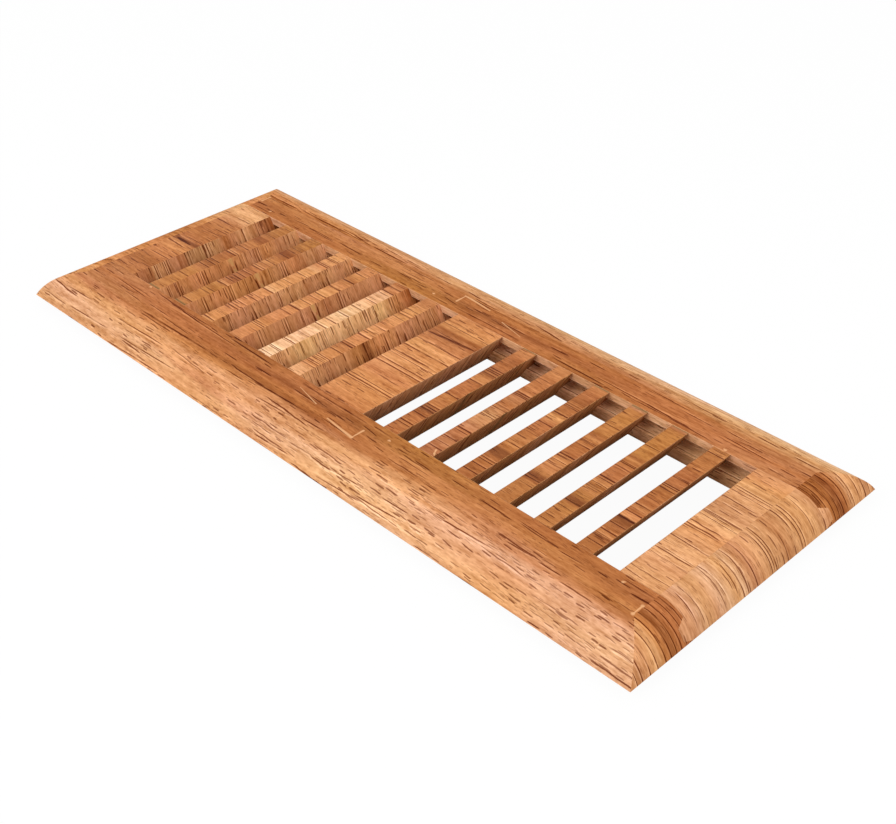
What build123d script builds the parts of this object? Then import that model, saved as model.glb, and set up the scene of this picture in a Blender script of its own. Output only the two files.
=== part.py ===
from build123d import *
import math
import os

# A drop-in wooden floor register: a frame of grooved side rails and tongued cross pieces, with a
# bank of leaning louvres on each side of a centre rail. Sizes are in millimetres. X runs along the
# side rails, Y along the louvres and Z up. The origin is in the middle of the underside.

# The banks of louvres, with widths measured level, along the top face.
LOUVRES_PER_BANK = 6
LOUVRE_WIDTH = 7.78
SLOT_WIDTH = 11.81
SLOT_LENGTH = 79.95
LOUVRE_LEAN = 30.6  # degrees away from upright
CENTRE_FOOT = 8.52  # the centre rail's width along its underside

# The rim, which lies on the floor round the duct: a flat top, then a margin that rounds down to a thin edge.
RIM_HEIGHT = 10.37
END_FLAT = 16.97
END_ROUND = 14.97
SIDE_FLAT = 13.64
SIDE_ROUND = 19.26

# The step under the rim, which drops into the duct.
STEP_DROP = 4.97
RIM_OVERLAP = 23.8  # how far the rim reaches past the step, all round

# The tapered groove along each side rail, and the tongue that is glued into it.
LIP_HEIGHT = 3.4
GROOVE_MOUTH = 6.9
GROOVE_FLOOR = 3.9
GROOVE_DEPTH = 4.5
GLUE_ROOM = 0.1  # between a tongue's tip and the groove's floor

# Sizes that follow from those above.
HEIGHT = STEP_DROP + RIM_HEIGHT
LEAN_RUN = HEIGHT * math.tan(math.radians(LOUVRE_LEAN))
CENTRE_HALF = CENTRE_FOOT / 2 + LEAN_RUN
PITCH = LOUVRE_WIDTH + SLOT_WIDTH
BANK_END = CENTRE_HALF + LOUVRES_PER_BANK * PITCH + SLOT_WIDTH
RAIL_INNER = SLOT_LENGTH / 2
HALF_LENGTH = BANK_END + END_FLAT + END_ROUND
HALF_WIDTH = RAIL_INNER + SIDE_FLAT + SIDE_ROUND
GROOVE_TOP = HEIGHT - LIP_HEIGHT
GROOVE_BOTTOM = GROOVE_TOP - GROOVE_MOUTH
FLANK_SLOPE = (GROOVE_MOUTH - GROOVE_FLOOR) / 2 / GROOVE_DEPTH


def rim_outline(inner_top, inner_bottom, edge, round_width, groove=()):
    """A frame member's section, from its inner side out to the rim's thin edge at the right."""
    step_wall = edge - RIM_OVERLAP
    flat_end = edge - round_width
    inner_side = Polyline(
        (edge, STEP_DROP),
        (step_wall, STEP_DROP),
        (step_wall, 0),
        (inner_bottom, 0),
        *groove,
        (inner_top, HEIGHT),
        (flat_end, HEIGHT),
    )
    margin = TangentArc((flat_end, HEIGHT), (edge, STEP_DROP), tangent=(1, 0))
    return make_face([inner_side, margin])


def flank_points(depth):
    """The groove's flanks, from the mouth to a depth and back, going up."""
    taper = FLANK_SLOPE * depth
    return [
        (RAIL_INNER, GROOVE_BOTTOM),
        (RAIL_INNER + depth, GROOVE_BOTTOM + taper),
        (RAIL_INNER + depth, GROOVE_TOP - taper),
        (RAIL_INNER, GROOVE_TOP),
    ]


def along_rails(section):
    """A section in Y and Z, drawn out past both ends of the register."""
    return extrude(Plane.YZ * section, amount=HALF_LENGTH, both=True)


def along_louvres(section):
    """A section in X and Z, drawn out past both sides of the register."""
    return extrude(Plane.XZ * section, amount=HALF_WIDTH, both=True)


def side_rail():
    """The rear side rail: the grooved section, with both ends rounded as the end rails are."""
    section = rim_outline(RAIL_INNER, RAIL_INNER, HALF_WIDTH, SIDE_ROUND, flank_points(GROOVE_DEPTH))
    right_end = rim_outline(0, 0, HALF_LENGTH, END_ROUND)
    ends = right_end + mirror(right_end, about=Plane.YZ)
    return along_rails(section) & along_louvres(ends)


def cross_piece(section):
    """A piece that spans the side rails, with a tongue at each end for their grooves."""
    right = flank_points(GROOVE_DEPTH - GLUE_ROOM)
    left = [(-y, z) for y, z in reversed(right)]
    corners = [(RAIL_INNER, 0), *right, (RAIL_INNER, HEIGHT), (-RAIL_INNER, HEIGHT), *left, (-RAIL_INNER, 0)]
    span = make_face(Polyline(*corners, close=True))
    return along_louvres(section) & along_rails(span)


def end_rail():
    """The right end rail, whose inner face leans with its bank."""
    return cross_piece(rim_outline(BANK_END, BANK_END - LEAN_RUN, HALF_LENGTH, END_ROUND))


def centre_rail():
    """The rail between the banks, with both faces leaning inwards to a narrow foot."""
    foot = CENTRE_FOOT / 2
    corners = [(-foot, 0), (foot, 0), (CENTRE_HALF, HEIGHT), (-CENTRE_HALF, HEIGHT)]
    return cross_piece(make_face(Polyline(*corners, close=True)))


def louvre(number):
    """A louvre of the right bank, counted from the centre rail, with its foot towards the centre."""
    top = CENTRE_HALF + SLOT_WIDTH + number * PITCH
    foot = top - LEAN_RUN
    corners = [(foot, 0), (foot + LOUVRE_WIDTH, 0), (top + LOUVRE_WIDTH, HEIGHT), (top, HEIGHT)]
    return cross_piece(make_face(Polyline(*corners, close=True)))


def all_pieces():
    """Every piece of the register by name. The left and front pieces mirror the right and rear ones."""
    pieces = {"centre_rail": centre_rail()}
    pieces["side_rail_rear"] = side_rail()
    pieces["side_rail_front"] = mirror(pieces["side_rail_rear"], about=Plane.XZ)
    pieces["end_rail_right"] = end_rail()
    pieces["end_rail_left"] = mirror(pieces["end_rail_right"], about=Plane.YZ)
    for number in range(LOUVRES_PER_BANK):
        slat = louvre(number)
        pieces[f"louvre_right_{number + 1}"] = slat
        pieces[f"louvre_left_{number + 1}"] = mirror(slat, about=Plane.YZ)
    return pieces


os.makedirs("parts", exist_ok=True)
for name, shape in all_pieces().items():
    export_step(shape, f"parts/{name}.step")
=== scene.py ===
import cmath
import math
from bisect import bisect_left, bisect_right
from collections import namedtuple

import bpy
from mathutils import Color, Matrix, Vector


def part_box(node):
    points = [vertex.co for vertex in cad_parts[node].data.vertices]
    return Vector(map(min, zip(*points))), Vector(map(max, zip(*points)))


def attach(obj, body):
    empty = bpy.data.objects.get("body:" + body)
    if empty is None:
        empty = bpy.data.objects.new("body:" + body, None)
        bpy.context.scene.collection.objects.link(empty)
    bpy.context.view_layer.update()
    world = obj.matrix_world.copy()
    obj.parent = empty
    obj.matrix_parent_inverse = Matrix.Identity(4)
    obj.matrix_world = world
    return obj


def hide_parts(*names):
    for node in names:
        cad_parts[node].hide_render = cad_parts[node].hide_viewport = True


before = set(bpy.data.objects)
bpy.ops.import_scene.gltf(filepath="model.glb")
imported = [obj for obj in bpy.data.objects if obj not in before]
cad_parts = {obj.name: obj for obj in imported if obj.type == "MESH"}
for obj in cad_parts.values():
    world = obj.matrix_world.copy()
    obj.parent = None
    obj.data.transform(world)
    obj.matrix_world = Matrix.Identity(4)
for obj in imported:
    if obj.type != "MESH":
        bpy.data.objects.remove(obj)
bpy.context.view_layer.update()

# Sizes in metres. The overall ones come from the frame, the others repeat the solids' own.
MM = 0.001
RAIL_LOW, RAIL_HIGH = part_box("side_rail_rear")
HALF_LENGTH = RAIL_HIGH.x
HALF_WIDTH = RAIL_HIGH.y
HEIGHT = RAIL_HIGH.z
RAIL_INNER = RAIL_LOW.y
TONGUE_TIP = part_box("centre_rail")[1].y
STEP_DROP = 4.97 * MM
RIM_OVERLAP = 23.8 * MM
END_ROUND = 14.97 * MM
SIDE_ROUND = 19.26 * MM
LIP_HEIGHT = 3.4 * MM
GROOVE_MOUTH = 6.9 * MM
GROOVE_FLOOR = 3.9 * MM
GROOVE_DEPTH = 4.5 * MM
LEAN_ANGLE = math.radians(30.6)
LEAN_RUN = HEIGHT * math.tan(LEAN_ANGLE)
GROOVE_TOP = HEIGHT - LIP_HEIGHT
GROOVE_BOTTOM = GROOVE_TOP - GROOVE_MOUTH
FLANK_SLOPE = (GROOVE_MOUTH - GROOVE_FLOOR) / 2 / GROOVE_DEPTH
LOUVRES_PER_BANK = sum(name.startswith("louvre_right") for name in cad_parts)

# How far sanding has eased the edges, and how finely round stretches are divided.
EASE = 0.15 * MM
EASE_STEPS = 4
MARGIN_STEPS = 28
SHARP_ANGLE = math.radians(30)  # an edge that turns further isn't shaded smooth
INSET = 1 * MM  # how far inside the wood an outline starts and ends before it is eased
HEIGHT_DIGITS = 9  # the decimals that tell two heights apart
SAME_LEVEL = 1e-8  # two levels closer than this are one

# Wood tones, as a display's red, green and blue out of the brightest.
BRIGHTEST = 255
TONES = {
    "mahogany": (135, 76, 40),
    "russet": (153, 90, 49),
    "chestnut": (168, 101, 55),
    "amber": (179, 109, 60),
    "brown": (187, 117, 66),
    "ochre": (185, 119, 61),
    "golden": (192, 124, 72),
    "rose": (185, 118, 74),
    "honey": (207, 135, 81),
    "fawn": (206, 145, 97),
    "apricot": (217, 148, 91),
    "tan": (216, 153, 101),
    "peach": (230, 168, 114),
    "cream": (236, 180, 130),
    "ivory": (244, 194, 148),
    "straw": (228, 171, 113),
    "blush": (217, 161, 118),
    "clay": (197, 132, 86),
    "ash": (206, 160, 120),
    "drab": (180, 124, 78),
    "taupe": (200, 144, 100),
    "olive": (146, 108, 66),
    "khaki": (204, 152, 94),
    "bronze": (178, 113, 60),
    "sienna": (150, 84, 42),
}

GRAIN = "grain"  # what each face keeps: its place along and across the grain

# Where in the pattern a piece is cut. A louvre's number is moved one way in each bank, and sawn faces
# and rounds are cut a little further on than the top.
CENTRE_SEED = 11.2
RIGHT_END_SEED = 12.4
LEFT_END_SEED = 13.6
SIDE_RAIL_SEED = 14.1
BANK_SEED = 0.5
SAWN_SEED = 0.37
ROUND_SEED = 0.19


def colour(tone):
    """A named tone as a linear colour with alpha."""
    display = Color([channel / BRIGHTEST for channel in TONES[tone]])
    return (*display.from_srgb_to_scene_linear(), 1.0)


# Outlines. Each is a list of (distance, height) points going up.

def eased(points):
    """An outline with its inner corners rounded by sanding, and without its first and last points."""
    result = []
    points = [complex(*point) for point in points]
    for before, corner, after in zip(points, points[1:], points[2:]):
        back = (before - corner) / abs(before - corner)
        on = (after - corner) / abs(after - corner)
        half = math.acos((back * on.conjugate()).real) / 2
        middle = (back + on) / abs(back + on)
        centre = corner + middle * EASE / math.sin(half)
        first = corner + back * EASE / math.tan(half) - centre
        last = corner + on * EASE / math.tan(half) - centre
        turn = cmath.phase(last / first)
        for step in range(EASE_STEPS + 1):
            spot = centre + first * cmath.rect(1, turn * step / EASE_STEPS)
            result.append((spot.real, spot.imag))
    return result


def margin(edge, round_width):
    """The rim's outer side: the step's wall, the ledge under the rim, and the round up to the flat top."""
    step_wall = edge - RIM_OVERLAP
    flat_end = edge - round_width
    rise = HEIGHT - STEP_DROP
    radius = (round_width ** 2 + rise ** 2) / (2 * rise)
    sweep = math.asin(round_width / radius)
    outline = [(step_wall, 0), (step_wall, STEP_DROP)]
    for step in range(MARGIN_STEPS + 1):
        angle = sweep * (1 - step / MARGIN_STEPS)
        height = HEIGHT - radius * (1 - math.cos(angle))
        outline.append((flat_end + radius * math.sin(angle), max(height, STEP_DROP)))
    return outline


def leaning(foot, run, inwards):
    """A leaning face, from its foot up, with the wood on the side that inwards points to."""
    inset = inwards * INSET
    top = foot + run
    return eased([(foot + inset, 0), (foot, 0), (top, HEIGHT), (top + inset, HEIGHT)])


def jointed(tip):
    """A side rail's inner side or a cross piece's end, with its groove or tongue as far as the tip."""
    taper = FLANK_SLOPE * (tip - RAIL_INNER)
    return [
        (RAIL_INNER, 0),
        (RAIL_INNER, GROOVE_BOTTOM),
        (tip, GROOVE_BOTTOM + taper),
        (tip, GROOVE_TOP - taper),
        (RAIL_INNER, GROOVE_TOP),
        (RAIL_INNER, HEIGHT),
    ]


def grooved():
    """A side rail's inner side, with its groove and eased edges."""
    inset = RAIL_INNER + INSET
    return eased([(inset, 0), *jointed(RAIL_INNER + GROOVE_DEPTH), (inset, HEIGHT)])


def mirrored(outline):
    """The same outline on the other side of the middle."""
    return [(-distance, height) for distance, height in outline]


def reach_at(outline, height, above):
    """How far out an outline is at a height. At a ledge, above picks the upper side."""
    heights = [point[1] for point in outline]
    if above:
        index = min(bisect_right(heights, height), len(outline) - 1)
    else:
        index = min(max(bisect_left(heights, height), 1), len(outline) - 1)
    (low, bottom), (high, top) = outline[index - 1], outline[index]
    if top == bottom:
        return high if above else low
    share = min(max((height - bottom) / (top - bottom), 0), 1)
    return low + (high - low) * share


# Pieces. Every level cut through one is a rectangle, so each is a stack of rectangles, lofted.

SIDES = ("front", "right", "rear", "left")
CORNERS = len(SIDES)  # how many corners a level has


def path_lengths(outline):
    """The distance down an outline from its top, at each of its points."""
    lengths = [0.0]
    for lower, upper in zip(outline[-2::-1], outline[:0:-1]):
        lengths.append(lengths[-1] + math.dist(lower, upper))
    return lengths[::-1]


def stack_levels(outlines):
    """The heights at which any of the outlines turns, each with the four reaches there."""
    points = [point for outline in outlines.values() for point in outline]
    levels = []
    for height in sorted({round(height, HEIGHT_DIGITS) for _, height in points}):
        for above in (False, True):
            level = (height, *(reach_at(outlines[side], height, above) for side in SIDES))
            if not levels or math.dist(level, levels[-1]) > SAME_LEVEL:
                levels.append(level)
    return levels


def add_object(name, data):
    """A new object in the scene."""
    made = bpy.data.objects.new(name, data)
    bpy.context.scene.collection.objects.link(made)
    return made


def stack_piece(name, outlines, finishes, turn=1):
    """A closed piece with four side outlines, and finishes for its sides, top and bottom.

    Each face keeps where it lies along and across the grain, unrolled from the top face, so that the
    grain runs on over the rounded and leaning faces. A turn of -1 turns the grain half round.
    """
    levels = stack_levels(outlines)
    materials = list(dict.fromkeys(finishes.values()))
    paths = {}
    for number, side in enumerate(SIDES, start=1):
        paths[side] = path_lengths([(level[number], level[0]) for level in levels])
    corners = []
    for height, front, right, rear, left in levels:
        ring = ((left, front), (right, front), (right, rear), (left, rear))
        corners += [(x, y, height) for x, y in ring]
    faces, places, slots = [], [], []

    def add_face(indices, spots, part):
        faces.append(indices)
        slot = materials.index(finishes[part])
        places.extend((turn * along, turn * across, slot) for along, across in spots)
        slots.append(slot)

    last = len(levels) - 1
    top_front, top_right, top_rear, top_left = levels[-1][1:]
    for low in range(last):
        for number, side in enumerate(SIDES):
            here = CORNERS * low + number
            there = CORNERS * low + (number + 1) % CORNERS
            indices = (here, there, there + CORNERS, here + CORNERS)
            if len({corners[index] for index in indices}) < len(indices):
                continue
            spots = []
            for index in indices:
                x, y, _ = corners[index]
                run = paths[side][index // CORNERS]
                spots.append({
                    "front": (x, top_front - run),
                    "right": (top_right + run, y),
                    "rear": (x, top_rear + run),
                    "left": (top_left - run, y),
                }[side])
            add_face(indices, spots, side)
    lowest = list(reversed(range(CORNERS)))
    highest = [CORNERS * last + number for number in range(CORNERS)]
    for indices, part in ((lowest, "bottom"), (highest, "top")):
        add_face(indices, [corners[index][:2] for index in indices], part)

    mesh = bpy.data.meshes.new(name)
    mesh.from_pydata(corners, [], faces)
    attribute = mesh.attributes.new(GRAIN, "FLOAT_VECTOR", "CORNER")
    attribute.data.foreach_set("vector", [value for place in places for value in place])
    mesh.polygons.foreach_set("material_index", slots)
    for material in materials:
        mesh.materials.append(material)
    mesh.shade_smooth()
    mesh.set_sharp_from_angle(angle=SHARP_ANGLE)
    for edge in mesh.edges:
        goes_up = abs(edge.vertices[0] - edge.vertices[1]) == CORNERS
        edge.use_edge_sharp = edge.use_edge_sharp or goes_up
    return add_object(name, mesh)


# Shader nodes.

MIX_FIRST = 6  # a mix node's inputs and output for colours
MIX_SECOND = 7
MIX_RESULT = 2
NOISE_MIDDLE = 0.5  # what noise strays from to both sides
NEW_STOP = 0.5  # where a ramp's new stops lie until they are placed


def node(tree, kind, inputs=None, **settings):
    """A node with its settings, and each input set to a value or linked to a socket."""
    made = tree.nodes.new(kind)
    for key, value in settings.items():
        setattr(made, key, value)
    for key, value in (inputs or {}).items():
        if isinstance(value, bpy.types.NodeSocket):
            tree.links.new(value, made.inputs[key])
        else:
            made.inputs[key].default_value = value
    return made


def math_node(tree, operation, *values):
    """The result of a sum on numbers."""
    return node(tree, "ShaderNodeMath", dict(enumerate(values)), operation=operation).outputs[0]


def ramp_between(tree, value, low, high, to_low=0.0, to_high=1.0):
    """A smooth step from one level to another as a value goes from low to high."""
    inputs = {"Value": value, "From Min": low, "From Max": high, "To Min": to_low, "To Max": to_high}
    return node(tree, "ShaderNodeMapRange", inputs, interpolation_type="SMOOTHSTEP").outputs["Result"]


def vector_node(tree, operation, inputs, output=0):
    """The result of a sum on vectors."""
    return node(tree, "ShaderNodeVectorMath", inputs, operation=operation).outputs[output]


def joined(tree, *parts):
    """A vector made of its parts."""
    return node(tree, "ShaderNodeCombineXYZ", dict(enumerate(parts))).outputs[0]


def parted(tree, vector):
    """The three parts of a vector."""
    return node(tree, "ShaderNodeSeparateXYZ", {0: vector}).outputs


def mixed(tree, share, first, second, blend="MIX", clamp=False):
    """A colour with a share of a second one blended in."""
    inputs = {"Factor": share, MIX_FIRST: first, MIX_SECOND: second}
    settings = {"data_type": "RGBA", "blend_type": blend, "clamp_result": clamp}
    return node(tree, "ShaderNodeMix", inputs, **settings).outputs[MIX_RESULT]


# The wood's pattern. A patch of it has a length along the grain and a width across it, in
# millimetres, a detail and a strength.
Patch = namedtuple("Patch", "length width detail strength")
FIGURE_SWAY = Patch(length=55, width=9, detail=2, strength=7 * MM)
MARK_SWAY = Patch(length=60, width=14, detail=1, strength=3 * MM)
MARK_WIGGLE = Patch(length=6, width=2.5, detail=1, strength=0.8 * MM)
LINE_WAVER = Patch(length=15, width=4, detail=1, strength=0.55 * MM)
LINE_BREAKS = Patch(length=9, width=0.8, detail=1, strength=1.0)
CROWDING = Patch(length=40, width=5, detail=1, strength=1.0)
HUE_DRIFT = Patch(length=70, width=11, detail=1, strength=1.0)
MOTTLING = (
    Patch(length=80, width=6.0, detail=2, strength=0.55),
    Patch(length=22, width=2.2, detail=2, strength=1.15),
    Patch(length=30, width=1.1, detail=1, strength=0.8),
    Patch(length=6, width=1.8, detail=2, strength=1.0),
    Patch(length=2.2, width=0.6, detail=1, strength=0.8),
)

# The dark marks along the grain: the room that each has along and across it and its thickness, in
# millimetres, then out of 1 how many places hold one, where they are few and where they crowd, and
# how dark they are.
Marks = namedtuple("Marks", "length width thickness few many strength")
MARKS = {
    "Lines": Marks(length=30, width=1.7, thickness=0.5, few=0.15, many=0.85, strength=0.9),
    "Dashes": Marks(length=7.5, width=1.1, thickness=0.45, few=0.2, many=0.9, strength=0.8),
    "Specks": Marks(length=3.4, width=0.75, thickness=0.3, few=0.2, many=0.6, strength=0.4),
}
MARK_HALF_LENGTHS = (0.2, 0.5)  # the shortest and longest, as shares of a mark's room
MARK_HALF_THICKNESSES = (0.25, 0.75)  # the thinnest and thickest, as shares of its thickness
MARK_DARKNESSES = (0.5, 1)  # the palest and darkest, as shares of its strength
MARK_SCATTER = 0.85  # how far marks stray from even rows, out of 1
MARK_ENDS = 4  # how squarely marks end
MARK_EDGE = (0.3, 1.3)  # where a mark begins to fade and where it is gone
SCUFF_EDGE = (0.4, 1.2)  # the same for a scuff
# The pale edge on one side of each mark is partly pale grain and partly a painted highlight, as if light
# caught the mark's lip.
HIGHLIGHT_EDGE_PLACE = 2.2  # the pale edge beside a mark, in half thicknesses from its middle
FACE_GAP = 7.3  # how far apart the pattern is cut for two faces of one piece
CELL_SHIFT = (5.3, 8.9, 0)  # what a step between two cuts moves the marks by

# Between which levels noise makes marks crowd, drawn lines break and the hue drift, and how faint and
# how dark the drawn lines are.
CROWDING_LEVELS = (-0.15, 0.15)
BREAK_LEVELS = (-0.15, 0)
HUE_LEVELS = (-0.2, 0.2)
LINE_STRENGTHS = (0.4, 0.9)
MIDDLE_SHADE = 0.5  # halfway between the dark shade and the pale one


def stretched(tree, place, along, across, shift=(0, 0, 0)):
    """A place measured in lengths along the grain and widths across it, both in millimetres."""
    return vector_node(tree, "MULTIPLY_ADD", {0: place, 1: (1 / along / MM, 1 / across / MM, 1), 2: shift})


def patches(tree, place, patch):
    """Noise about zero with a patch's size and strength."""
    spot = stretched(tree, place, patch.length, patch.width)
    inputs = {"Vector": spot, "Scale": 1, "Detail": patch.detail}
    raw = node(tree, "ShaderNodeTexNoise", inputs).outputs[0]
    return math_node(tree, "MULTIPLY", math_node(tree, "SUBTRACT", raw, NOISE_MIDDLE), patch.strength)


def mark_strips(tree, along, across, strength):
    """A dark mark and the pale edge on one side of it, from a place in half lengths and half thicknesses.
    The pale edge is partly pale grain and partly a painted highlight on the mark's lip.
    """
    ends = math_node(tree, "POWER", along, MARK_ENDS)
    strips = []
    for middle in (0, HIGHLIGHT_EDGE_PLACE):
        offset = math_node(tree, "SUBTRACT", across, middle)
        closeness = math_node(tree, "MULTIPLY_ADD", offset, offset, ends)
        faded = ramp_between(tree, closeness, *MARK_EDGE, 1, 0)
        strips.append(math_node(tree, "MULTIPLY", faded, strength))
    return strips


def darkest(tree, pairs):
    """The strongest of several dark marks, and of the pale edges beside them, which are partly pale grain
    and partly painted highlight.
    """
    dark = pale = 0.0
    for more_dark, more_pale in pairs:
        dark = math_node(tree, "MAXIMUM", dark, more_dark)
        pale = math_node(tree, "MAXIMUM", pale, more_pale)
    return dark, pale


def spread(tree, share, smallest, largest):
    """A size between the smallest and the largest, by a share."""
    return math_node(tree, "MULTIPLY_ADD", share, largest - smallest, smallest)


def scattered_marks(tree, place, depth, kind, share):
    """Marks strewn along the grain, each in a cell of its own. The share tells how many stay."""
    shift = vector_node(tree, "SCALE", {0: CELL_SHIFT, "Scale": depth})
    spot = stretched(tree, place, kind.length, kind.width, shift)
    inputs = {"Vector": spot, "Scale": 1, "Randomness": MARK_SCATTER}
    cells = node(tree, "ShaderNodeTexVoronoi", inputs, voronoi_dimensions="2D")
    chance, size, weight = node(tree, "ShaderNodeSeparateColor", {0: cells.outputs["Color"]}).outputs
    gap = vector_node(tree, "SUBTRACT", {0: spot, 1: cells.outputs["Position"]})
    along, across, _ = parted(tree, gap)
    half_length = spread(tree, size, *MARK_HALF_LENGTHS)
    thicknesses = [half * kind.thickness / kind.width for half in MARK_HALF_THICKNESSES]
    half_thickness = spread(tree, weight, *thicknesses)
    along = math_node(tree, "DIVIDE", along, half_length)
    across = math_node(tree, "DIVIDE", across, half_thickness)

    back = (-kind.length * MM, -kind.width * MM, 0)
    middle = vector_node(tree, "MULTIPLY_ADD", {0: gap, 1: back, 2: place})
    crowding = patches(tree, middle, CROWDING)
    wanted = ramp_between(tree, crowding, *CROWDING_LEVELS, kind.few, kind.many)
    kept = math_node(tree, "LESS_THAN", chance, math_node(tree, "MULTIPLY", wanted, share))
    darkness = spread(tree, weight, *(level * kind.strength for level in MARK_DARKNESSES))
    return mark_strips(tree, along, across, math_node(tree, "MULTIPLY", kept, darkness))


def new_group(name, inputs):
    """A node group with number inputs, its input node, and places along, across and into the wood."""
    group = bpy.data.node_groups.new(name, "ShaderNodeTree")
    for label in inputs:
        group.interface.new_socket(label, in_out="INPUT", socket_type="NodeSocketFloat")
    source = node(group, "NodeGroupInput")
    grain = node(group, "ShaderNodeAttribute", attribute_name=GRAIN).outputs["Vector"]
    along, across, face = parted(group, grain)
    depth = math_node(group, "MULTIPLY_ADD", face, FACE_GAP, source.outputs["Seed"])
    return group, source, along, across, depth


def finish_group(group, results):
    """Gives a node group its outputs."""
    for label in results:
        group.interface.new_socket(label, in_out="OUTPUT", socket_type="NodeSocketFloat")
    node(group, "NodeGroupOutput", results)
    return group


def figure_group():
    """The figure that all the wood shares: wandering bands of tone, mottling and drifts of hue."""
    group, source, along, across, depth = new_group("wood_figure", ("Seed", "Sway"))
    place = joined(group, along, across, depth)
    wander = patches(group, place, FIGURE_SWAY)
    breaks = patches(group, place, LINE_BREAKS)
    shade = MIDDLE_SHADE
    for patch in MOTTLING:
        shade = math_node(group, "ADD", shade, patches(group, place, patch))
    return finish_group(group, {
        "Along": along,
        "Across": across,
        "Figure": math_node(group, "MULTIPLY_ADD", wander, source.outputs["Sway"], across),
        "Waver": math_node(group, "ADD", across, patches(group, place, LINE_WAVER)),
        "Breaks": ramp_between(group, breaks, *BREAK_LEVELS, *LINE_STRENGTHS),
        "Shade": shade,
        "Hue": ramp_between(group, patches(group, place, HUE_DRIFT), *HUE_LEVELS),
    })


def marks_group():
    """The marks that all the wood shares, with how many of each kind stay."""
    group, source, along, across, depth = new_group("wood_marks", ("Seed", "Tilt", *MARKS))
    level = joined(group, along, across, depth)
    swayed = math_node(group, "ADD", across, patches(group, level, MARK_SWAY))
    wiggled = math_node(group, "ADD", swayed, patches(group, level, MARK_WIGGLE))
    tilted = math_node(group, "MULTIPLY_ADD", along, source.outputs["Tilt"], wiggled)
    place = joined(group, along, tilted)
    pairs = []
    for label, kind in MARKS.items():
        pairs.append(scattered_marks(group, place, depth, kind, source.outputs[label]))
    dark, pale = darkest(group, pairs)
    return finish_group(group, {"Dark": dark, "Pale": pale})


FIGURE = figure_group()
MARKING = marks_group()

# Tints that multiply the wood's tone.
DARK_SHADE = (0.7, 0.6, 0.5, 1)
PALE_SHADE = (1.27, 1.4, 1.58, 1)
# The pale tint lightens the edge beside each mark: partly pale grain, partly a painted highlight.
PALE_GRAIN_AND_HIGHLIGHT_TINT = (1.2, 1.32, 1.5, 1)
DARK_TINT = (0.2, 0.05, -0.2, 1)
GOLD_TINT = (0.99, 1.0, 0.93, 1)
ROSE_TINT = (1.01, 0.99, 1.05, 1)
SCUFF_THINNING = 0.6  # how much thinner a scuff is at its second place
BUMP_DEPTH = 0.04 * MM  # how deep the dark marks are
LINE_REACH = 500  # how far either way a line over a whole piece goes, in millimetres

# A kind of face: how many lines and dashes it has, how far its figure sways, how its marks tilt to the
# grain, how its dashes thin out along it, how rough and glossy it is, and its scuffs' strength and tone.
Look = namedtuple("Look", "lines dashes sway tilt thinning roughness gloss scuffs scuff_tone")
LOUVRE_LOOK = Look(
    lines=0.35, dashes=0.25, sway=0.2, tilt=0, thinning=0, roughness=0.5, gloss=0.06, scuffs=0.75,
    scuff_tone="cream",
)
END_LOOK = LOUVRE_LOOK._replace(lines=0.25, sway=0.3, tilt=0.03)
LEFT_END_LOOK = END_LOOK._replace(lines=0.5, dashes=0.45)
ROUND_LOOKS = {"end_rail_left": LEFT_END_LOOK._replace(gloss=0), "end_rail_right": END_LOOK}
RAIL_LOOK = LOUVRE_LOOK._replace(lines=0.25, dashes=0.3, sway=0.8, tilt=0.035, thinning=0.5, gloss=0.02)
REAR_LOOK = RAIL_LOOK._replace(thinning=0, gloss=0)
RAIL_END_LOOK = END_LOOK._replace(gloss=0)
SAWN_LOOK = LOUVRE_LOOK._replace(lines=0.7, dashes=0.4, sway=0.5, roughness=0.7, gloss=0)
SLOPE_LOOK = SAWN_LOOK._replace(lines=1, dashes=0.9)
INNER_LOOK = SAWN_LOOK._replace(lines=0.15, dashes=0.2)
LINED_LOOK = SAWN_LOOK._replace(lines=0.2, dashes=0.4, scuffs=0.8, scuff_tone="khaki")


def tone_ramp(tree, across, stops, usual_dashes):
    """The colour across the grain through the stops, and beside it how many dashes there are."""
    low = min(stops) * MM
    high = max(stops) * MM
    share = node(tree, "ShaderNodeMapRange", {"Value": across, "From Min": low, "From Max": high})
    ramp = node(tree, "ShaderNodeValToRGB", {0: share.outputs["Result"]})
    elements = ramp.color_ramp.elements
    while len(elements) < len(stops):
        elements.new(NEW_STOP)
    for element, (spot, tone) in zip(elements, stops.items()):
        tone, dashes = tone if isinstance(tone, tuple) else (tone, usual_dashes)
        element.position = (spot * MM - low) / (high - low)
        element.color = (*colour(tone)[:3], dashes)
    return ramp.outputs["Color"], ramp.outputs["Alpha"]


def all_along(stops):
    """The same tones at every place along a piece."""
    return [(0, stops)]


def with_dashes(share, stops):
    """Stops of tone with a share of dashes that isn't the usual one."""
    return {spot: (tone, share) for spot, tone in stops.items()}


def lines_across(places):
    """Lines right over a piece, given by their thickness and their places across the grain."""
    lines = []
    for thickness, spots in places.items():
        lines += [(-LINE_REACH, spot, LINE_REACH, spot, thickness) for spot in spots]
    return lines


def moved_along(marks, distance):
    """Marks between two places, moved along the grain."""
    return [(x + distance, y, far_x + distance, far_y, width) for x, y, far_x, far_y, width in marks]


def placed_lines(tree, figure, lines):
    """Dark lines of the grain, each between two places with a thickness, all in millimetres."""
    pairs = []
    for x, y, far_x, far_y, thickness in lines:
        half_length = (far_x - x) / 2
        half_thickness = thickness / 2
        middle = (-(x + far_x) / 2 / half_length, -(y + far_y) / 2 / half_thickness)
        along = math_node(tree, "MULTIPLY_ADD", figure["Along"], 1 / half_length / MM, middle[0])
        level = math_node(tree, "MULTIPLY_ADD", figure["Waver"], 1 / half_thickness / MM, middle[1])
        across = math_node(tree, "MULTIPLY_ADD", along, -(far_y - y) / thickness, level)
        pairs.append(mark_strips(tree, along, across, figure["Breaks"]))
    return darkest(tree, pairs)


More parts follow.
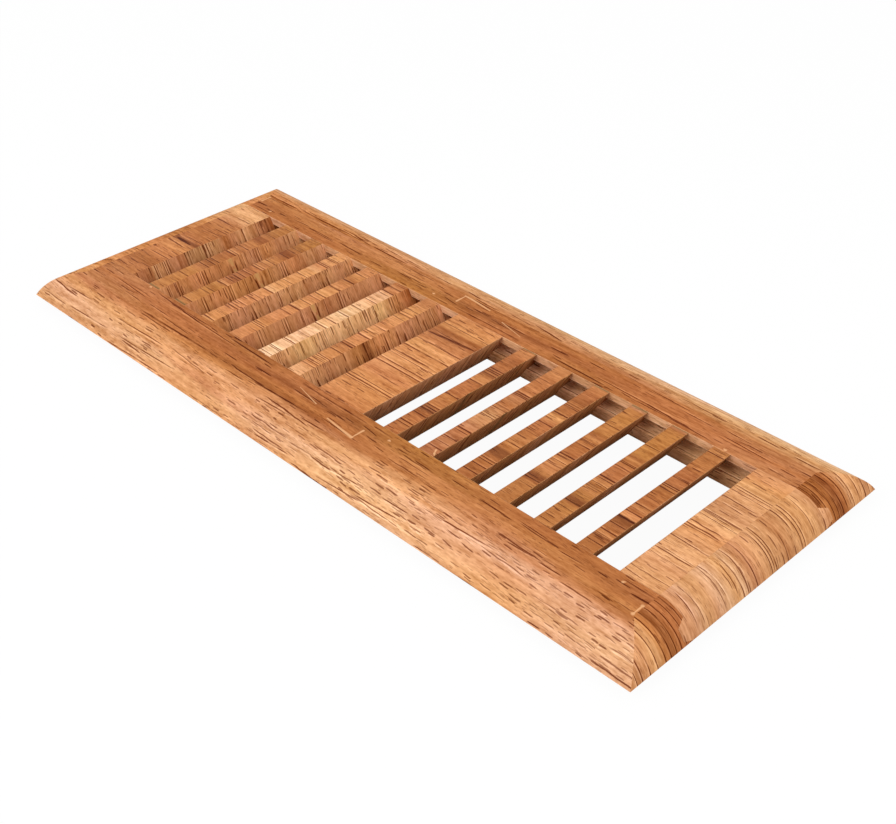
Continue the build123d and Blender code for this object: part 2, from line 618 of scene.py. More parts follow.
def scuff_mask(tree, figure, scuffs):
    """1 on the scuffs, each a straight mark between two places that thins towards the second one."""
    spot = joined(tree, figure["Along"], figure["Across"])
    mask = 0.0
    for x, y, far_x, far_y, width in scuffs:
        start = Vector((x, y, 0)) * MM
        reach = Vector((far_x, far_y, 0)) * MM - start
        half_width = width / 2 * MM
        offset = vector_node(tree, "SUBTRACT", {0: spot, 1: start})
        share = vector_node(tree, "DOT_PRODUCT", {0: offset, 1: reach / reach.length_squared}, "Value")
        share = node(tree, "ShaderNodeClamp", {0: share}).outputs[0]
        nearest = vector_node(tree, "SCALE", {0: reach, "Scale": share})
        gap = vector_node(tree, "DISTANCE", {0: offset, 1: nearest}, "Value")
        room = math_node(tree, "MULTIPLY_ADD", share, -SCUFF_THINNING * half_width, half_width)
        closeness = math_node(tree, "DIVIDE", gap, room)
        mask = math_node(tree, "MAXIMUM", mask, ramp_between(tree, closeness, *SCUFF_EDGE, 1, 0))
    return mask


def wood(name, seed, tones, look, lines=(), scuffs=()):
    """Lacquered hardwood, with the tones that it has across the grain at places along it.

    Tones are pairs of millimetres along the grain and stops, which give millimetres across the grain, a
    tone and, if it isn't the usual number, how many dashes there are.
    """
    material = bpy.data.materials.new(name)
    material.use_nodes = True
    tree = material.node_tree
    shader = tree.nodes["Principled BSDF"]
    shader.inputs["Specular IOR Level"].default_value = look.gloss
    shader.inputs["Roughness"].default_value = look.roughness
    figure = node(tree, "ShaderNodeGroup", {"Seed": seed, "Sway": look.sway}, node_tree=FIGURE).outputs

    toned, dashes = tone_ramp(tree, figure["Figure"], tones[0][1], look.dashes)
    for (start, _), (finish, stops) in zip(tones, tones[1:]):
        share = ramp_between(tree, figure["Along"], start * MM, finish * MM)
        toned = mixed(tree, share, toned, tone_ramp(tree, figure["Figure"], stops, look.dashes)[0])
    shade = mixed(tree, figure["Shade"], DARK_SHADE, PALE_SHADE)
    toned = mixed(tree, 1, toned, shade, "MULTIPLY")
    hue = mixed(tree, figure["Hue"], GOLD_TINT, ROSE_TINT)
    toned = mixed(tree, 1, toned, hue, "MULTIPLY")

    thinned = ramp_between(tree, figure["Along"], -HALF_LENGTH, HALF_LENGTH, 1, 1 - look.thinning)
    fewer_lines = math_node(tree, "MULTIPLY", dashes, look.lines / look.dashes)
    amounts = {
        "Seed": seed,
        "Tilt": look.tilt,
        "Lines": math_node(tree, "MINIMUM", fewer_lines, look.lines),
        "Dashes": math_node(tree, "MULTIPLY", dashes, thinned),
        "Specks": 1,
    }
    marks = node(tree, "ShaderNodeGroup", amounts, node_tree=MARKING).outputs
    pairs = [(marks["Dark"], marks["Pale"]), placed_lines(tree, figure, lines)]
    dark, pale = darkest(tree, pairs)
    # The pale edges beside the marks: partly pale grain, partly a painted highlight.
    toned = mixed(tree, pale, toned, PALE_GRAIN_AND_HIGHLIGHT_TINT, "MULTIPLY")
    toned = mixed(tree, dark, toned, DARK_TINT, "MULTIPLY", clamp=True)
    if scuffs:
        mask = math_node(tree, "MULTIPLY", scuff_mask(tree, figure, scuffs), look.scuffs)
        toned = mixed(tree, mask, toned, colour(look.scuff_tone))
    tree.links.new(toned, shader.inputs["Base Color"])
    bump = node(tree, "ShaderNodeBump", {"Height": dark, "Distance": BUMP_DEPTH}, invert=True)
    tree.links.new(bump.outputs[0], shader.inputs["Normal"])
    return material


# The tones over each cross piece: the place across the grain, in millimetres from the middle of the
# register, and the tone there. Between two places one tone passes into the next.
BLOCKED_TONES = {
    -26: "bronze", -24.6: "chestnut", -23.6: "mahogany", -21: "mahogany", -18.5: "bronze", -15: "golden",
    -6: "golden", -4: "chestnut", -2: "amber", 8.5: "amber", 11.4: "golden", 13: "chestnut",
    **with_dashes(0.1, {16: "ochre", 37: "ochre", 38.4: "clay", 39.6: "olive"}),
}
FIGURED_TONES = {
    -39.2: "olive", -38.6: "golden", -29: "ochre", -20: "ochre", -15: "golden", -11: "chestnut",
    -6: "chestnut", **with_dashes(0.1, {2.8: "amber", 4.4: "golden", 12: "golden"}),
    **with_dashes(0.1, {16.5: "brown", 19.4: "sienna", 23.4: "sienna"}), 24.2: "chestnut", 28: "bronze",
    36: "ochre",
}
TOP_TONES = {
    "end_rail_right": {
        -28: "tan", -20: "peach", -12: "tan", -4: "apricot", 3: "peach", 10: "fawn", 22: "tan", 28: "tan",
        34: "apricot", 44: "tan",
    },
    "end_rail_left": {
        -44: "golden", -28: "chestnut", -20: "brown", -12: "honey", -6: "golden", -4.6: "russet",
        -3.4: "mahogany", -2.4: "russet", -1.8: "brown", 12: "amber", 20: "golden", 27: "tan",
        33: "peach", 44: "tan",
    },
    "centre_rail": {
        -14: "honey", -4: "apricot", 6: "honey", 9: "apricot", 13: "apricot", 16: "honey", 20.5: "golden",
        21.5: "chestnut", 27: "amber", 28.5: "golden", 34: "honey",
    },
    "louvre_right_1": {
        -44: "amber", -38: "brown", -34: "chestnut", -28: "amber", -22: "chestnut", -20.5: "mahogany",
        -18: "russet", -16.8: "brown", -9: "brown", -5: "amber", 6: "amber", 8.6: "golden",
        12.5: "golden", 14: "russet", 21: "chestnut", 23: "amber", 28: "chestnut", 33: "amber",
        36: "golden", 39: "golden", 39.5: "olive",
    },
    "louvre_right_2": {
        -26: "rose", -20: "amber", -16: "clay", -9: "clay", -6: "fawn", -2: "clay", 4: "amber", 8: "rose",
        12: "rose", 14.4: "chestnut", 16: "brown", 26: "brown", 38: "golden",
    },
    "louvre_right_3": {
        -44: "amber", -36: "chestnut", -33: "chestnut", -30: "amber", -24: "chestnut", -22.5: "mahogany",
        -18.5: "mahogany", -17: "brown", -8: "golden", -4: "amber", 6: "amber", 9: "golden",
        11.5: "apricot", 13.5: "golden", 14.5: "chestnut", 19: "amber", 27: "chestnut",
        **with_dashes(0.1, {34: "amber", 36: "brown", 38.6: "golden", 39.2: "olive"}),
    },
    "louvre_right_4": BLOCKED_TONES,
    "louvre_right_5": BLOCKED_TONES,
    "louvre_right_6": {
        -32: "chestnut", -28: "golden", -26: "amber", -21: "russet", -17.8: "mahogany", -16.6: "mahogany",
        -16: "honey", -14.5: "honey", -13: "amber", -8: "golden", -6: "amber", 3: "amber", 7: "chestnut",
        14: "amber", 22: "amber", 38: "golden",
    },
    "louvre_left_1": {
        -44: "peach", -35: "tan", -31: "honey", -25: "apricot", -19: "honey", -12: "golden", -10: "amber",
        -8.5: "honey", -4: "honey", 3: "apricot", 12: "honey", 20: "apricot", 23: "honey", 28: "apricot",
        36: "golden",
    },
    "louvre_left_2": {
        **with_dashes(0.12, {-35: "ivory", -28: "cream", -12: "cream", -4: "peach", 4: "ivory"}),
        **with_dashes(0.12, {12: "cream", 20: "peach"}), 27: "cream", 29.5: "peach", 31.5: "golden",
        33: "honey", 35.3: "golden", 38: "amber",
    },
    "louvre_left_3": {
        -44: "golden", -32: "honey", -8: "honey", -7: "amber", -5.5: "apricot", 5: "honey", 12: "apricot",
        19: "honey", 24.5: "golden", 25: "chestnut", 27.5: "amber", 28.5: "golden", 36: "honey",
    },
    "louvre_left_4": {
        -44: "tan", -37: "honey", -6.2: "honey", -5.2: "peach", 0: "apricot", 19: "apricot", 20.5: "tan",
        25.5: "honey", 27: "golden", 29: "apricot",
    },
    "louvre_left_5": FIGURED_TONES,
    "louvre_left_6": FIGURED_TONES,
}

# The tones over the rounds of the end rails.
ROUND_TONES = {
    "end_rail_left": {
        -44: "apricot", -16: "honey", -4: "golden", 6: "golden", 14: "apricot", 24: "tan", 44: "cream",
    },
    "end_rail_right": {
        -38: "fawn", -34: "blush", -30: "fawn", -26: "fawn", -22: "blush", -18: "blush", -14: "peach",
        -10: "blush", -6: "fawn", -2: "clay", 2: "tan", 6: "fawn", 12: "fawn", 17: "clay", 22: "fawn",
        26: "tan", 32: "tan", 38: "fawn", 44: "tan",
    },
}

# The tones of the sawn slopes, first those that aren't as the rest of their bank.
STREAKED_SLOPE = {-2: "drab", -1: "olive", 0.5: "olive", 1.5: "drab"}
SLOPE_TONES = {
    "louvre_left_1": {
        -36: "tan", -28: "clay", -20: "clay", -9: "golden", -7: "russet", -3.4: "russet", -2: "golden",
        3: "honey", 20: "clay",
    },
    "louvre_left_2": {-32: "tan", -24: "straw", 24: "straw", 30: "apricot", 36: "amber"},
    "louvre_left_3": {-44: "rose", -20: "clay", -5: "clay", 8: "rose", 18: "clay"},
    "louvre_left_4": {-44: "brown", -30: "clay", -14: "clay", 0: "tan", 14: "clay", 44: "tan"},
    "end_rail_left": {
        -31: "rose", -29.6: "fawn", -28.4: "clay", -20.6: "clay", -13: "rose", -10: "drab", -3: "drab",
        2: "fawn", 7: "fawn", 9: "clay", 11: "amber", 18: "clay", 22.5: "tan", 29: "clay", 35: "rose",
        36.4: "russet", 40: "chestnut",
    },
    "centre_rail": {-44: "drab", -34: "taupe"},
    "louvre_right_1": STREAKED_SLOPE,
    "louvre_right_2": STREAKED_SLOPE,
}
LEFT_SLOPE = {
    -44: "clay", -20: "honey", -8: "golden", 4: "golden", 12: "clay", 20: "honey", 28: "clay", 36: "fawn",
}
RIGHT_SLOPE = {-8: "drab", 0: "taupe", 8: "drab"}

# A pale scratch on one louvre.
SCRATCH = [(50.2, -36.2, 51.3, -38.2, 1.1), (51.3, -38.2, 52.4, -39.2, 1.2)]
SCRATCHED = "louvre_right_2"

# A pale knot in three slopes with the dark lines beside it, given from the slope's upper edge.
KNOTTED = ("louvre_left_3", "louvre_left_5", "louvre_left_6")
KNOT = [(0.8, 0, 3.4, 0.3, 3), (9, 0.9, 5.6, 0.5, 3.2)]
KNOT_LINES = [
    (-2, 16, 20, 15.6, 0.5), (-2, 14.7, 20, 14.3, 0.7), (-2, 13.4, 20, 13, 0.4), (-2, 6.7, 20, 6, 0.35),
    (1.6, 2.2, 7, 1.6, 0.9), (2.2, -1.6, 9, -1, 1), (-2, -6.8, 20, -7.2, 0.35),
    (-2, -14.8, 20, -15.2, 0.6), (-2, -16, 20, -16.4, 0.6), (-2, -17.4, 20, -17.8, 0.4),
    (-2, -29.6, 20, -30, 0.6), (-2, -31, 20, -31.4, 0.5),
]

# Both side rails show the same wood, turned half round, so these are the rear rail's places. A line or
# a scuff goes from one place to another, each along the rail and then across it from the middle of the
# register, and has a thickness. The tones are those across the rail, at places along it.
RAIL_TONES = [
    (-145, {
        42: "amber", 44.5: "chestnut", 47: "chestnut", 49.5: "brown", 52: "golden",
        54.6: ("chestnut", 0.8), 57.6: ("clay", 1), 60.6: ("blush", 1),
    }),
    (-115, {
        44.5: "amber", 47: "brown", 49.5: "golden", 52: "golden", 54.6: "clay", 57.6: "clay",
        60.6: "blush", 63.6: "blush", 67: "fawn", 70: "fawn", 76.4: "tan",
    }),
    (-60, {
        42: "ochre", 44.5: "bronze", 47: "bronze", 49.5: "golden", 54.6: "golden", 57.6: "fawn",
        60.6: "peach", 63.6: "blush", 67: "blush", 70: "cream", 73: "cream", 76.4: "blush",
    }),
    (0, {
        42: "amber", 44.5: "chestnut", 47: "russet", 49.5: "amber", 52: "amber", 54.6: "sienna",
        57.6: "clay", 60.6: "fawn", 65: "fawn", 67: "blush", 70: "blush", 76.4: "tan",
    }),
    (60, {
        42: "chestnut", 44.5: "brown", 47: "chestnut", 49.5: "amber", 52: "amber", 54.6: "chestnut",
        57.6: "golden", 60.6: "fawn", 65: "tan", 68: "clay", 70: "fawn", 76.4: "tan",
    }),
    (95, {
        42: "amber", 44.5: "brown", 47: "amber", 52: "amber", 54.6: "brown", 57.6: "golden", 60.6: "fawn",
        64.5: "tan", 67: "fawn", 69.5: "blush", 76.4: "tan",
    }),
    (150, {
        44.5: "rose", 47: "amber", 49.5: "rose", 52: "rose", 54.6: "clay", 57.6: "rose", 60.6: "tan",
        63.6: "fawn", 67: "blush", 70: "blush", 76.4: "fawn",
    }),
]
RAIL_LINES = [
    (119.6, 42, 99, 42.7, 0.6), (99, 42.8, 79, 42.8, 0.45), (67.8, 42.2, 38, 43.1, 0.8),
    (96, 43.9, 59, 44.7, 0.55), (21, 42.9, -19.5, 43.1, 0.8), (-22, 42.5, -34, 42.6, 0.7),
    (-146, 42.5, -162, 42.5, 0.7), (145, 46.7, 121, 48, 0.5), (43.6, 48.3, 32.4, 48.6, 0.7),
    (-2, 47.8, -12, 47.9, 0.7), (-120.5, 46.9, -131.7, 46.4, 0.55), (133, 51.1, 120, 51.6, 0.5),
    (116, 50, 99, 50.6, 0.5), (103, 52.2, 81, 53, 0.5), (61, 51, 52, 51.2, 0.6),
    (139, 49.4, 131, 49.6, 0.6), (162, 49.7, 154, 50, 0.7), (154, 42.6, 145, 42.9, 0.7),
    (68, 40.3, 62, 40.6, 0.8), (-3, 53, -26, 54, 0.4), (-5, 51, -14, 51.5, 0.5), (12, 46.2, 4, 46.7, 0.5),
    (-19, 45, -28, 46.1, 0.5), (-49, 46.5, -60, 47, 0.7), (-82, 45.9, -99, 46.4, 0.8),
    (-101, 44.7, -115, 45.1, 0.5), (-67, 44.8, -76, 45.1, 0.6), (-152, 46.3, -162, 45.9, 0.9),
]
FRONT_ROUND_LINES = [
    (115, 55.6, 66, 55.1, 0.8), (36, 55.7, 2, 54.7, 0.8), (-105, 56, -117, 55.5, 0.6),
    (-120, 56.2, -130.5, 56, 0.5), (52, 58.2, 39, 58, 0.5), (3, 58.2, -11, 57.9, 0.6),
    (28.6, 61.2, 6, 60.1, 0.55), (-70, 62.6, -104, 61.3, 0.6), (160, 65, 139, 64.3, 0.55),
    (121, 65, 86, 64.2, 0.55), (-53, 67.7, -67, 67.3, 0.5), (-21, 69.6, -46, 68.4, 0.45),
    (-1, 69.3, -15, 68.7, 0.55), (150, 71.9, 121, 71.2, 0.55), (113, 71.3, 73, 70.3, 0.55),
    (-41, 72.4, -66, 71, 0.55), (17, 74.2, -4, 73.4, 0.55), (-21, 74.5, -46, 73.4, 0.45),
    (119, 75.9, 80, 75.1, 0.6), (-75, 75.8, -88, 75.6, 0.5), (-130, 75.8, -136, 75.6, 0.6),
]
RAIL_SCUFFS = [
    (-21.6, 47.3, -21.6, 53.5, 1.2), (-21.6, 53.5, -5.5, 51.8, 1.6), (5, 48.4, 18.6, 45.2, 0.6),
    (-159, 48.4, -159, 53.3, 1), (-159, 48.4, -159, 49, 1.9), (-159, 53.3, -159, 52.7, 1.9),
    (-147, 43.7, -147.6, 43.2, 1.4), (-33.3, 44.7, -34, 44.7, 1.4), (127.6, 41, 126.8, 41.2, 1.5),
]

# The rear rail's own round. Its tones are painted lighter than the front round's, most of all towards its
# outer edge: painted light on the side that faces away from the lamps.
REAR_ROUND_LIT_TONES = [
    (-120, {
        53: "golden", 54.6: "amber", 56: ("honey", 0.3), 57.6: ("honey", 1), 60: ("apricot", 0.6),
        62: ("peach", 0.1), 76.4: ("cream", 0.1),
    }),
    (-20, {53: "golden", 55.5: "clay", 57.6: "fawn", 60.6: "peach", 76.4: "cream"}),
    (70, {53: "golden", 55.5: "clay", 58.6: "fawn", 61: "cream", 76.4: "ivory"}),
    (130, {53: "golden", 55.5: "fawn", 58.6: "tan", 61: "cream", 76.4: "ivory"}),
]
REAR_ROUND_LINES = [
    (-104, 55.1, -137, 55.5, 1.1), (-139, 54.9, -162, 54.7, 0.9), (-86, 54.8, -101, 57.2, 1.1),
    (-61, 54.8, -86, 55.2, 0.9), (-147, 58.2, -159, 58.9, 0.7), (-88, 58.2, -99, 58.4, 0.7),
    (-70, 58.3, -80, 58.5, 0.8), (-55, 57.7, -65, 58.1, 0.9), (-33, 56.2, -44, 56.6, 0.6),
    (-15, 56, -24, 56.9, 0.7), (16, 55.6, 3, 56.2, 0.6), (34, 55, 16, 57.4, 0.9),
    (117, 56.4, 110, 56.6, 0.7), (141, 56.9, 131, 57.1, 0.7), (162, 55.8, 148, 55.9, 0.7),
]

# Over the ends of the side rails, where the same lines run from end to end. Of the left ends only a
# thin rim is seen.
RAIL_END_TONES = {
    38: "russet", 42: "chestnut", 45: "amber", 48: "chestnut", 50: "russet", 53: "amber", 55: "golden",
    57: "fawn", 60: "tan", 64: "tan", 67: "fawn", 72: "tan",
}
# The rim of the left ends is painted lighter than the right ends: painted light on ends that face away
# from the side lamp.
LEFT_RIM_LIT_TONES = {38: "golden", 42: "honey", 46: "apricot", 72: "tan"}
RAIL_END_LINES = lines_across({
    0.4: [41.2, 43.4, 48.7, 69.2], 0.5: [46.1, 58.6, 62.5], 0.6: [51.6, 54.4, 66.4],
})

# Down the inner sides: the wall below the groove, the groove's flanks and floor, and the lip above it. The
# wall is painted paler towards the bottom, where it is in shade: painted light. The thick line just under
# the lip is a painted shadow of the lip, and the thin line lower down is grain.
INNER_TONES_LIT_BELOW = {24: "cream", 30: "ash", 36: "drab", 36.8: ("blush", 0.05)}
INNER_LINES_AND_LIP_SHADOW = lines_across({0.4: [24.4], 0.9: [35.6]})

# The lines over the flat and the round of the right end rail.
END_LINES = [
    (140, 26.5, 162, 25.5, 0.4), (140, 25, 162, 24.4, 0.4), (140, 23.5, 162, 22.5, 0.4),
    (145, 14.6, 155, 13.6, 0.5), (140, 7.3, 162, 6.6, 0.5), (140, 6.3, 157, 5.3, 0.4),
    (140, 4.4, 162, 3.5, 0.4), (140, -4.7, 156, -4.3, 0.5), (140, -12.2, 162, -13, 0.45),
    (144, -20, 162, -20.8, 0.4), (140, -37.3, 152, -38.1, 0.4),
]
END_ROUND_LINES = [
    (157, 27, 182, 26.3, 0.5), (159, 25.4, 182, 24.5, 0.5), (157, 22.9, 170, 22.6, 0.6),
    (168, 16.4, 182, 15.2, 0.5), (157, 9.1, 182, 8.5, 0.5), (160, 7.9, 182, 7, 0.5),
    (160, 6.3, 182, 5.7, 0.5), (156, -2.5, 182, -3.3, 0.6), (161, -11.1, 182, -10.8, 0.55),
    (157, -19.7, 174, -19.1, 0.45), (162, -35.5, 176, -36.3, 0.5),
]

# The main dark lines over the other tops.
BLOCKED_LINES = lines_across({
    0.4: [-27.6, -8.6, 8.4], 0.5: [-5.4, 7.6, 22.5], 0.6: [-11.7, 4.9], 0.7: [-23.6], 0.8: [-4],
})
FIGURED_LINES = lines_across({
    0.4: [5.3, 8.5, 27.4], 0.5: [-23.4, -5.6], 0.6: [-11.8, 11.3], 0.7: [-8.2], 0.9: [3.6],
})
TOP_LINES = {
    "end_rail_right": END_LINES,
    "end_rail_left": [
        (-157, -20.7, -140, -20.2, 0.5), (-158, -4.6, -146, -4.8, 1.8), (-150, -31, -140, -30.6, 0.4),
        (-148, -12.2, -140, -11.9, 0.4), (-156, -0.9, -140, -0.5, 0.4), (-156, 9.6, -140, 10.4, 0.4),
        (-152, 13.2, -140, 13.7, 0.5), (-154, 27.9, -142, 28.3, 0.6), (-160, 20.6, -152, 20.9, 0.7),
    ],
    "centre_rail": [(-13.5, 21, 13.5, 23.6, 1.5)] + lines_across({
        0.4: [-26, -1, 1, 31], 0.5: [-23], 0.7: [-6.3], 0.8: [-24.7, -8.8, 7.3, 14.8],
    }),
    "louvre_right_1": lines_across({
        0.5: [-33.2, 17, 18.2], 0.6: [-24.3, -16.8, -6.4], 0.7: [-18.6, 19.6], 0.8: [-31.3, 7.3, 15.2],
        1: [-20.2],
    }),
    "louvre_right_2": lines_across({
        0.35: [-5], 0.4: [-31.2], 0.5: [-35.2, -21, -6.4, 0.2, 12.2, 13.1], 0.6: [-27, 2.2],
        0.8: [-19.3, 14.4],
    }),
    "louvre_right_3": lines_across({
        0.4: [25], 0.5: [-27.9, -2.8, 20.5], 0.6: [-31.5, -13, 21.4, 22.8], 0.7: [-36, -26.5, 5.6],
        0.8: [14.6],
    }),
    "louvre_right_4": BLOCKED_LINES,
    "louvre_right_5": BLOCKED_LINES,
    "louvre_right_6": lines_across({
        0.5: [-34.5, -22, 6.2, 7.9, 15], 0.6: [-13, 8.9, 14.3, 35.8], 0.7: [-27, -7.7], 0.9: [-30.7],
        1: [-17.2],
    }),
    "louvre_left_1": lines_across({
        0.4: [-26.8], 0.45: [-30], 0.5: [-28.8, 27.6], 0.6: [-32.2, -23.8, -17], 0.7: [7.9], 0.8: [22.7],
        0.9: [-11, -9.5], 1: [-1.3],
    }),
    "louvre_left_2": lines_across({
        0.4: [-38.2, -18.1], 0.5: [-33.3, 20.5], 0.7: [-26, -3, 12.3], 0.8: [-8.5, 31, 35.3],
    }),
    "louvre_left_3": lines_across({
        0.5: [-27.8, -25.4, -0.5, 4.7], 0.6: [-26.8, 32.6], 0.7: [-12, 8.2], 0.9: [24.9], 1: [-7, 16.7],
    }),
    "louvre_left_4": lines_across({
        0.4: [5.5], 0.5: [-27.2, -23.8, 14, 33], 0.6: [-38.7, -21, 27.4], 0.7: [-25.5, -15, 26.3],
        0.8: [-5.8],
    }),
    "louvre_left_5": FIGURED_LINES,
    "louvre_left_6": FIGURED_LINES,
}

# The lines over the rounds of the end rails, and over the slope that has lines of its own.
ROUND_LINES = {"end_rail_left": (), "end_rail_right": END_ROUND_LINES}
SLOPE_LINES = {
    "end_rail_left": lines_across({
        0.4: [-24, -23.1, 2.4, 30.3], 0.5: [-27.7, -9.9], 0.6: [-28.7, 0.8], 0.7: [-21.9, -11.6],
        0.8: [22], 1: [-1.1, 36.2],
    }),
}


def place_piece(piece, node_name):
    """Puts a piece in the register in place of its solid."""
    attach(piece, "root")
    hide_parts(node_name)


def cross_piece(node_name, seed, look, left, right, round_side=None):
    """A piece that spans the side rails, with a finished top and sawn sides."""
    plain, plain_look = (LEFT_SLOPE, SLOPE_LOOK) if "left" in node_name else (RIGHT_SLOPE, SAWN_LOOK)
    slope_tones = all_along(SLOPE_TONES.get(node_name, plain))
    if node_name in KNOTTED:
        upper_edge = right[-1][0] / MM
        drawn = (LINED_LOOK, moved_along(KNOT_LINES, upper_edge), moved_along(KNOT, upper_edge))
    elif node_name in SLOPE_LINES:
        drawn = (LINED_LOOK, SLOPE_LINES[node_name])
    else:
        drawn = (plain_look,)
    sawn_wood = wood(f"{node_name}_sawn", seed + SAWN_SEED, slope_tones, *drawn)
    finishes = dict.fromkeys(("bottom", *SIDES), sawn_wood)
    scratch = SCRATCH if node_name == SCRATCHED else ()
    top_tones = all_along(TOP_TONES[node_name])
    finishes["top"] = wood(f"{node_name}_top", seed, top_tones, look, TOP_LINES[node_name], scratch)
    if round_side:
        finishes[round_side] = wood(
            f"{node_name}_round",
            seed + ROUND_SEED,
            all_along(ROUND_TONES[node_name]),
            ROUND_LOOKS[node_name],
            ROUND_LINES[node_name],
        )
    end = jointed(TONGUE_TIP)
    outlines = {"front": mirrored(end), "right": right, "rear": end, "left": left}
    place_piece(stack_piece(f"{node_name}_wood", outlines, finishes), node_name)


def make_louvres():
    """Both banks. A louvre's foot points to the centre."""
    for number in range(1, LOUVRES_PER_BANK + 1):
        for bank, sign in (("left", -1), ("right", 1)):
            node_name = f"louvre_{bank}_{number}"
            low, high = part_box(node_name)
            run = sign * LEAN_RUN
            foot_left = low.x if sign > 0 else low.x + LEAN_RUN
            foot_right = high.x - LEAN_RUN if sign > 0 else high.x
            cross_piece(
                node_name,
                number + BANK_SEED * sign,
                LOUVRE_LOOK,
                leaning(foot_left, run, 1),
                leaning(foot_right, run, -1),
            )


def make_cross_rails():
    """The centre rail and the two end rails."""
    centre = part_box("centre_rail")[1].x
    foot = centre - LEAN_RUN
    left = leaning(-foot, -LEAN_RUN, 1)
    right = leaning(foot, LEAN_RUN, -1)
    cross_piece("centre_rail", CENTRE_SEED, END_LOOK, left, right)
    inner_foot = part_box("end_rail_right")[0].x
    outer = margin(HALF_LENGTH, END_ROUND)
    inner = leaning(inner_foot, LEAN_RUN, 1)
    cross_piece("end_rail_right", RIGHT_END_SEED, END_LOOK, inner, outer, "right")
    inner = leaning(-inner_foot, -LEAN_RUN, -1)
    cross_piece("end_rail_left", LEFT_END_SEED, LEFT_END_LOOK, mirrored(outer), inner, "left")


def make_side_rails():
    """The two long rails. The front one is the rear one turned half round, its grain too."""
    long_lines = RAIL_LINES + FRONT_ROUND_LINES
    end_tones = all_along(RAIL_END_TONES)
    end_seed = SIDE_RAIL_SEED + SAWN_SEED
    inner_seed = SIDE_RAIL_SEED + ROUND_SEED
    long_wood = wood("side_rail_long", SIDE_RAIL_SEED, RAIL_TONES, RAIL_LOOK, long_lines, RAIL_SCUFFS)
    # The rear round's lighter tones are painted light.
    round_wood = wood("side_rail_round", SIDE_RAIL_SEED, REAR_ROUND_LIT_TONES, REAR_LOOK, REAR_ROUND_LINES)
    end_wood = wood("side_rail_end", end_seed, end_tones, RAIL_END_LOOK, RAIL_END_LINES)
    # The rim's lighter tones are painted light.
    rim_wood = wood("side_rail_rim", end_seed, all_along(LEFT_RIM_LIT_TONES), RAIL_END_LOOK)
    # The inner sides carry painted light on the lower wall and a painted shadow under the lip.
    inner_wood = wood("side_rail_inner", inner_seed, all_along(INNER_TONES_LIT_BELOW), INNER_LOOK, INNER_LINES_AND_LIP_SHADOW)
    end = margin(HALF_LENGTH, END_ROUND)
    outer = margin(HALF_WIDTH, SIDE_ROUND)
    rear = {"front": grooved(), "rear": outer}
    front = {"front": mirrored(outer), "rear": mirrored(grooved())}
    sides = {
        "side_rail_rear": (1, rear, inner_wood, round_wood),
        "side_rail_front": (-1, front, long_wood, inner_wood),
    }
    for node_name, (turn, outlines, front_wood, rear_wood) in sides.items():
        outlines.update(left=mirrored(end), right=end)
        finishes = {"top": long_wood, "bottom": inner_wood, "left": rim_wood, "right": end_wood}
        finishes.update(front=front_wood, rear=rear_wood)
        place_piece(stack_piece(f"{node_name}_wood", outlines, finishes, turn), node_name)


# The studio: a white floor, soft light from all round, and a large soft lamp in front and one beside.

GLOW_SHARE = 0.95  # how much of the floor's look is even white
PAPER_WHITE = (0.92, 0.92, 0.92, 1)  # the floor as it looks
PAPER_GREY = (0.4, 0.4, 0.4, 1)  # the floor as it lights the wood
FLOOR_SIZE = 6.0
WHITE = (1, 1, 1, 1)
WORLD_LIGHT = 0.6
Lamp = namedtuple("Lamp", "place size energy")
LAMPS = {
    "front_lamp": Lamp(place=(-0.35, -1.6, 1.35), size=1.6, energy=27.0),
    "side_lamp": Lamp(place=(1.7, -0.2, 1.2), size=1.4, energy=16.0),
}


def seen_directly(tree):
    """1 where the camera, a reflection or glass looks, and 0 where light only bounces."""
    path = node(tree, "ShaderNodeLightPath")
    seen = math_node(tree, "MAXIMUM", path.outputs["Is Camera Ray"], path.outputs["Is Glossy Ray"])
    return math_node(tree, "MAXIMUM", seen, path.outputs["Is Transmission Ray"])


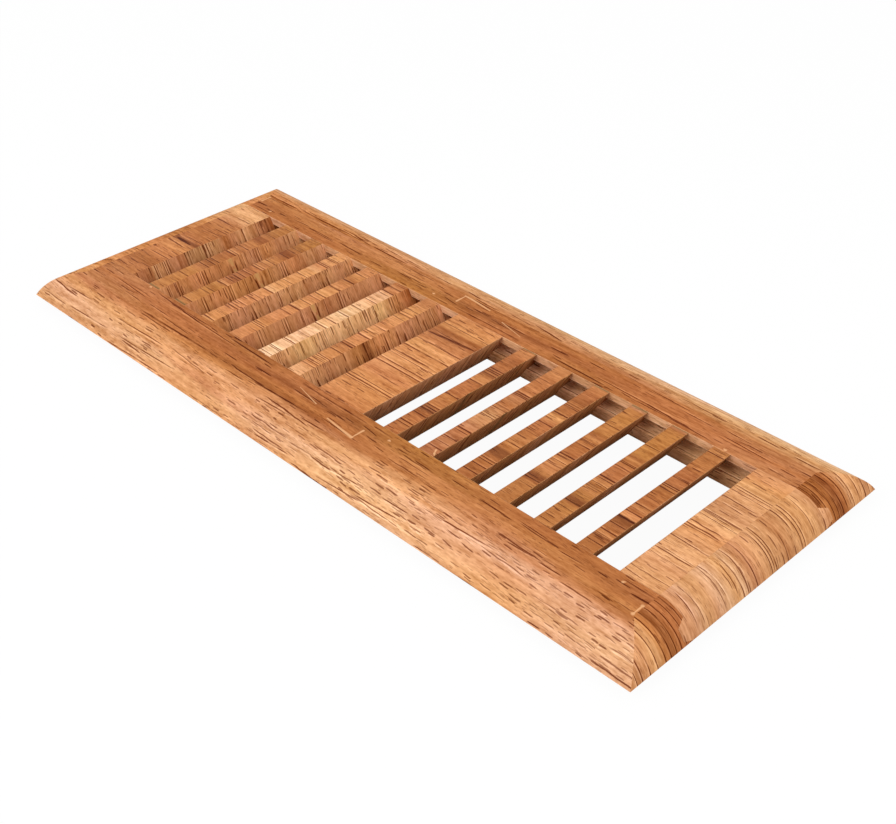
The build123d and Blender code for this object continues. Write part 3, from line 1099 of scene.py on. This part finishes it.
def make_floor():
    """A pale floor that looks white and keeps a faint shadow."""
    mesh = bpy.data.meshes.new("floor")
    half = FLOOR_SIZE / 2
    corners = [(-half, -half, 0), (half, -half, 0), (half, half, 0), (-half, half, 0)]
    mesh.from_pydata(corners, [], [range(len(corners))])
    floor = add_object("floor", mesh)
    material = bpy.data.materials.new("floor_paper")
    material.use_nodes = True
    tree = material.node_tree
    tree.nodes.clear()
    seen = seen_directly(tree)
    shade = mixed(tree, seen, PAPER_GREY, PAPER_WHITE)
    paper = node(tree, "ShaderNodeBsdfDiffuse", {"Color": shade})
    glow = node(tree, "ShaderNodeEmission", {"Strength": 1.0})
    share = math_node(tree, "MULTIPLY", seen, GLOW_SHARE)
    mix = node(tree, "ShaderNodeMixShader", {0: share, 1: paper.outputs[0], 2: glow.outputs[0]})
    node(tree, "ShaderNodeOutputMaterial", {0: mix.outputs[0]})
    mesh.materials.append(material)


def make_world():
    """Even light from all round, behind which the view is white."""
    world = bpy.data.worlds.new("studio")
    bpy.context.scene.world = world
    world.use_nodes = True
    tree = world.node_tree
    tree.nodes.clear()
    light = node(tree, "ShaderNodeBackground", {"Color": WHITE, "Strength": WORLD_LIGHT})
    white = node(tree, "ShaderNodeBackground", {"Color": WHITE, "Strength": 1.0})
    seen = seen_directly(tree)
    mix = node(tree, "ShaderNodeMixShader", {0: seen, 1: light.outputs[0], 2: white.outputs[0]})
    node(tree, "ShaderNodeOutputWorld", {0: mix.outputs[0]})


def make_lamps():
    """Large soft lamps in front of the register and beside it, all aimed at its middle."""
    for name, lamp in LAMPS.items():
        light = bpy.data.lights.new(name, "AREA")
        light.energy = lamp.energy
        light.size = lamp.size
        hung = add_object(name, light)
        hung.location = lamp.place
        hung.rotation_euler = (-Vector(lamp.place)).to_track_quat("-Z", "Y").to_euler()


# The camera looks down the cube's diagonal, as the photograph does.
CAMERA_PLACE = (0.35254, -0.33218, 0.33203)
CAMERA_TILT = math.acos(1 / math.sqrt(3))
CAMERA_TURN = math.radians(45)
CAMERA_LENS = 56.153
SENSOR_WIDTH = 36.0


def make_camera():
    """The camera at the photograph's place."""
    lens = bpy.data.cameras.new("camera")
    lens.sensor_fit = "HORIZONTAL"
    lens.sensor_width = SENSOR_WIDTH
    lens.lens = CAMERA_LENS
    camera = add_object("camera", lens)
    camera.location = CAMERA_PLACE
    camera.rotation_euler = (CAMERA_TILT, 0, CAMERA_TURN)
    bpy.context.scene.camera = camera


make_side_rails()
make_cross_rails()
make_louvres()
make_floor()
make_world()
make_lamps()
make_camera()
bpy.context.scene.view_settings.view_transform = "Standard"
